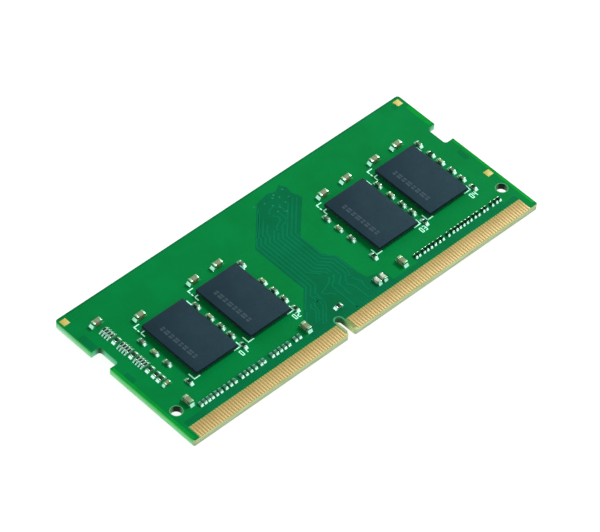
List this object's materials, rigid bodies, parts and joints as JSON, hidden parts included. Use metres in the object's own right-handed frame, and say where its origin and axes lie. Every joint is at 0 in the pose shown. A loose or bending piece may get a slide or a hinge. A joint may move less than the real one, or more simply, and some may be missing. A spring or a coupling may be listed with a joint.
{
  "type": "small-outline memory module",
  "caption": "Laptop-size memory module: a green circuit board with a keyed gold contact edge, latch notches, black memory packages and small passive parts.",
  "frame": {"origin": "middle of the board's outline, on the surface that the packages of the back face rest on", "axes": "+X along the board's length, +Y from the contact edge to the plain long edge, +Z out of the front face"},
  "size_m": [0.0696, 0.03, 0.0031],
  "materials": {
    "laminate": "glass-fibre epoxy board, cut edges pale green and slightly translucent",
    "solder_mask": "green solder mask over copper, satin gloss",
    "gold": "thin gold plating on copper",
    "package_substrate": "dark green package substrate with grey solder balls",
    "silicon": "polished grey silicon",
    "moulding": "fine matt blue-black moulding compound",
    "lead_frame": "tinned lead frame",
    "capacitor": "tan-brown ceramic with bright tinned ends",
    "resistor": "black glaze on a white ceramic chip with tinned terminals"
  },
  "bodies": {
    "root": {"laminate": "laminate", "front_solder_mask": "solder_mask", "back_solder_mask": "solder_mask", "front_fiducial_1": "gold", "front_fiducial_2": "gold", "front_fiducial_3": "gold", "front_left_contacts": "gold", "back_left_contacts": "gold", "front_right_contacts": "gold", "back_right_contacts": "gold", "dram_1_substrate": "package_substrate", "dram_1_die": "silicon", "dram_1_mould_cap": "moulding", "dram_2_substrate": "package_substrate", "dram_2_die": "silicon", "dram_2_mould_cap": "moulding", "dram_3_substrate": "package_substrate", "dram_3_die": "silicon", "dram_3_mould_cap": "moulding", "dram_4_substrate": "package_substrate", "dram_4_die": "silicon", "dram_4_mould_cap": "moulding", "dram_5_substrate": "package_substrate", "dram_5_die": "silicon", "dram_5_mould_cap": "moulding", "dram_6_substrate": "package_substrate", "dram_6_die": "silicon", "dram_6_mould_cap": "moulding", "dram_7_substrate": "package_substrate", "dram_7_die": "silicon", "dram_7_mould_cap": "moulding", "dram_8_substrate": "package_substrate", "dram_8_die": "silicon", "dram_8_mould_cap": "moulding", "settings_memory_lead_frame": "lead_frame", "settings_memory_package": "moulding", "front_capacitor_1": "capacitor", "front_capacitor_2": "capacitor", "front_capacitor_3": "capacitor", "front_capacitor_4": "capacitor", "front_capacitor_5": "capacitor", "front_capacitor_6": "capacitor", "front_capacitor_7": "capacitor", "front_capacitor_8": "capacitor", "front_capacitor_9": "capacitor", "front_capacitor_10": "capacitor", "front_capacitor_11": "capacitor", "back_capacitor_1": "capacitor", "back_capacitor_2": "capacitor", "back_capacitor_3": "capacitor", "back_capacitor_4": "capacitor", "back_capacitor_5": "capacitor", "back_capacitor_6": "capacitor", "back_capacitor_7": "capacitor", "back_capacitor_8": "capacitor", "termination_array_1": "resistor", "termination_array_2": "resistor", "termination_array_3": "resistor"}
  },
  "joints": []
}
